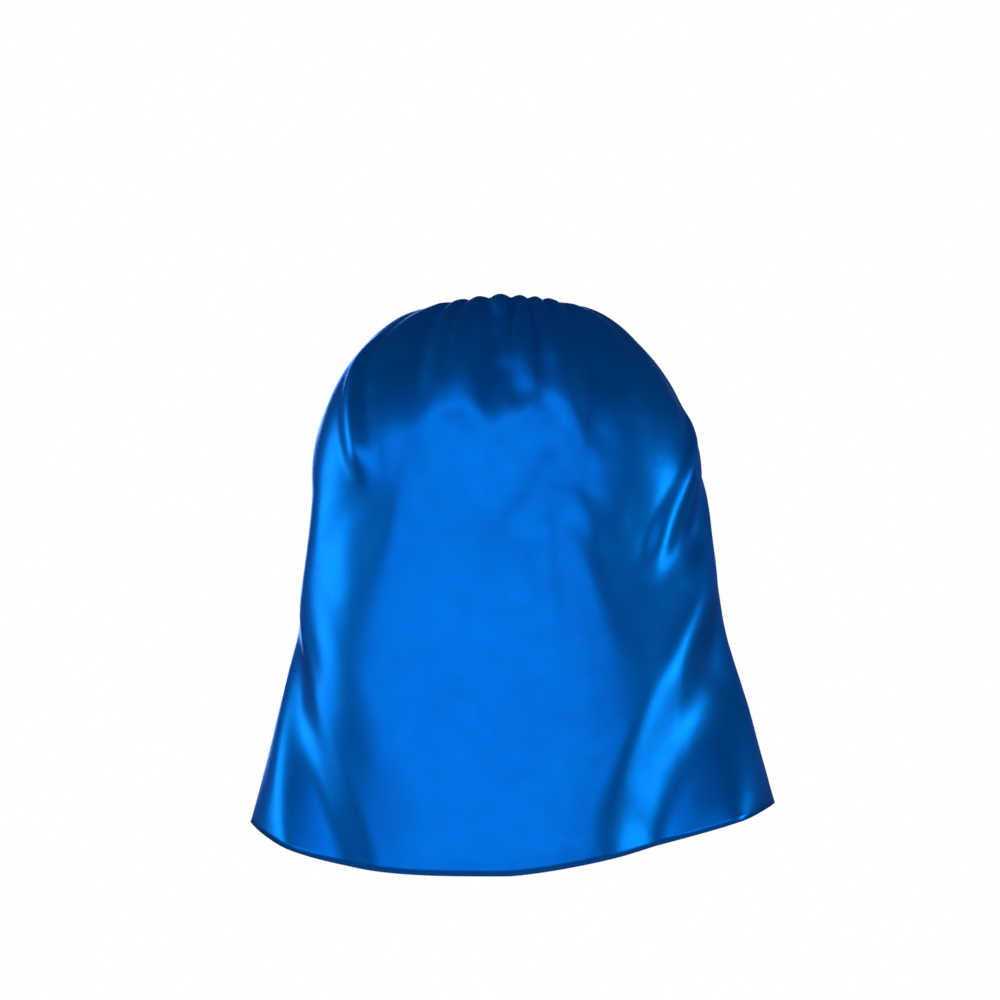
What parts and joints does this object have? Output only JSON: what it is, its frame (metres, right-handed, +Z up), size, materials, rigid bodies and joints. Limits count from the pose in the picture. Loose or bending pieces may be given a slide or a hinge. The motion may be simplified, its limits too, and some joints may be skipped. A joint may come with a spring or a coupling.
{
  "type": "superhero cape",
  "caption": "Child's two-layer satin cape gathered into a folded neckband that closes at the throat with overlapping hook-and-loop straps.",
  "frame": {"origin": "centre of the neck opening, halfway up the neckband", "axes": "+Z up; the wearer faces -Y, so the cape hangs on the +Y side; +X is the wearer's left"},
  "size_m": [0.5154, 0.1945, 0.5445],
  "materials": {
    "satin_shell": "glossy woven satin",
    "satin_lining": "glossy woven satin",
    "thread": "polyester sewing thread",
    "interfacing": "non-woven, matt",
    "hook_tape": "moulded nylon hooks",
    "loop_tape": "brushed nylon loops",
    "label": "woven satin ribbon, blank"
  },
  "bodies": {
    "cape": {"cape_shell": "satin_shell", "cape_lining": "satin_lining", "edge_seam_thread": "thread", "gathering_thread": "thread", "neckband": "satin_shell", "neckband_interfacing": "interfacing", "neckband_stitching": "thread"},
    "closure_end": {"closure_strap": "satin_shell", "closure_strap_interfacing": "interfacing", "closure_strap_stitching": "thread", "hook_tape": "hook_tape", "hook_tape_stitching": "thread"},
    "under_end": {"under_strap": "satin_shell", "under_strap_interfacing": "interfacing", "under_strap_stitching": "thread", "loop_tape": "loop_tape", "loop_tape_stitching": "thread"},
    "label": {"care_label": "label", "care_label_stitching": "thread"}
  },
  "joints": [
    {"name": "closure_opening", "type": "hinge", "parent": "cape", "child": "closure_end", "pos_m": [0.04579, -0.03805, -0.00535], "axis": [0, -0.1392, 0.9903], "range_deg": [0, 100]},
    {"name": "under_strap_opening", "type": "hinge", "parent": "cape", "child": "under_end", "pos_m": [-0.04579, -0.03805, -0.00535], "axis": [0, 0.1392, -0.9903], "range_deg": [0, 35]},
    {"name": "label_swing", "type": "hinge", "parent": "cape", "child": "label", "pos_m": [0, 0.05949, -0.00295], "axis": [1, 0, 0], "range_deg": [-80, 15]}
  ],
  "couplings": [
    {"joint": "under_strap_opening", "follows": "closure_opening", "ratio": 0.35}
  ]
}
